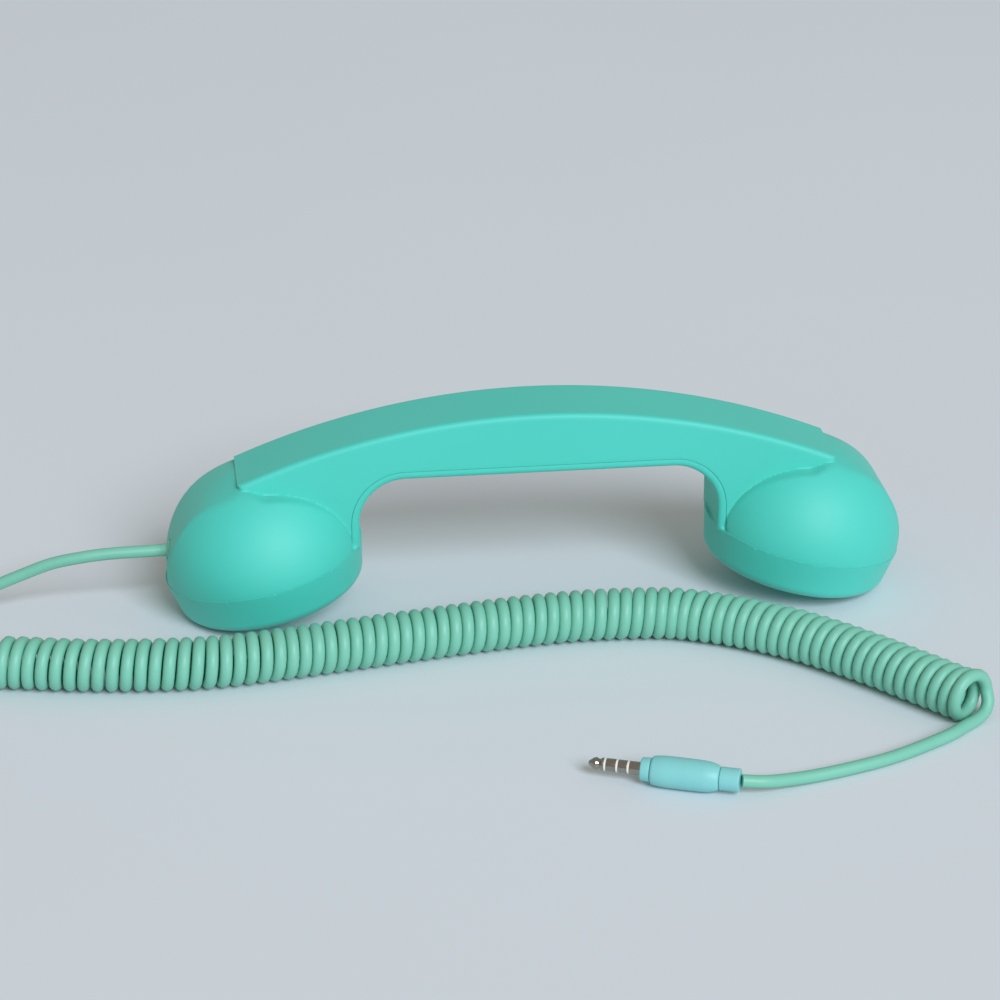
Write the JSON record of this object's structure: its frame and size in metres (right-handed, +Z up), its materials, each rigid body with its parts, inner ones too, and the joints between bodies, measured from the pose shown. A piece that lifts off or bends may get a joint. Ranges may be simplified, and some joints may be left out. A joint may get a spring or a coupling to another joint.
{
  "type": "corded telephone handset",
  "caption": "Retro telephone handset lying on its two cups: arched flat-sided grip, domed earpiece and mouthpiece, call button, curly cord and small four-pole jack plug.",
  "frame": {"origin": "on the surface that the handset lies on, under the middle of the handset without its cord", "axes": "+X along the handset towards the earpiece, +Y across it away from the side that the plug lies on, +Z up, away from the cups' faces"},
  "size_m": [0.3194, 0.1609, 0.0605],
  "materials": {
    "shell": "soft-touch matte, moulded",
    "button": "soft-touch matte, moulded",
    "cap": "soft-touch matte, moulded",
    "felt": "woven dust screen",
    "rubber": "matte rubber",
    "black_plastic": "moulded",
    "cone_paper": "treated paper cone",
    "copper": "enamelled copper winding",
    "magnet": "nickel-plated magnet",
    "board": "solder-masked circuit board",
    "steel": "zinc-plated steel",
    "wire": "thin PVC insulation",
    "cord": "semi-gloss PVC jacket",
    "nickel": "nickel-plated brass",
    "insulator": "moulded insulator ring",
    "plug_moulding": "satin PVC overmoulding"
  },
  "bodies": {
    "handset": {"board_screw_1": "steel", "board_screw_2": "steel", "circuit_board": "board", "cord_coil": "cord", "cord_core": "wire", "cord_grommet": "cord", "cord_lead": "cord", "cord_tail": "cord", "ear_cap": "cap", "ear_dust_screen": "felt", "grip_weight": "steel", "inner_shell": "shell", "mic_boot": "rubber", "mic_capsule": "magnet", "mic_wire": "wire", "mouth_cap": "cap", "mouth_dust_screen": "felt", "outer_shell": "shell", "plug_boot": "plug_moulding", "plug_collar": "plug_moulding", "plug_grip": "plug_moulding", "plug_insulator_1": "insulator", "plug_insulator_2": "insulator", "plug_insulator_3": "insulator", "plug_ring_1": "nickel", "plug_ring_2": "nickel", "plug_sleeve": "nickel", "plug_tip": "nickel", "receiver_cone": "cone_paper", "receiver_frame": "black_plastic", "receiver_gasket": "rubber", "receiver_magnet": "magnet", "receiver_wire": "wire", "shell_screw_1": "steel", "shell_screw_2": "steel", "shell_screw_3": "steel", "shell_screw_4": "steel", "switch_body": "black_plastic", "voice_coil": "copper", "weight_screw_1": "steel", "weight_screw_2": "steel"},
    "button": {"button_cap": "button"},
    "plunger": {"switch_plunger": "rubber"}
  },
  "joints": [
    {"name": "button_press", "type": "slide", "parent": "handset", "child": "button", "axis": [0, 0, 1], "range_m": [0, 0.0005], "stiffness_N_per_m": 1200, "springref_m": -0.0006},
    {"name": "plunger_press", "type": "slide", "parent": "handset", "child": "plunger", "axis": [0, 0, 1], "range_m": [0, 0.0005]}
  ],
  "couplings": [
    {"joint": "plunger_press", "follows": "button_press", "ratio": 1}
  ]
}
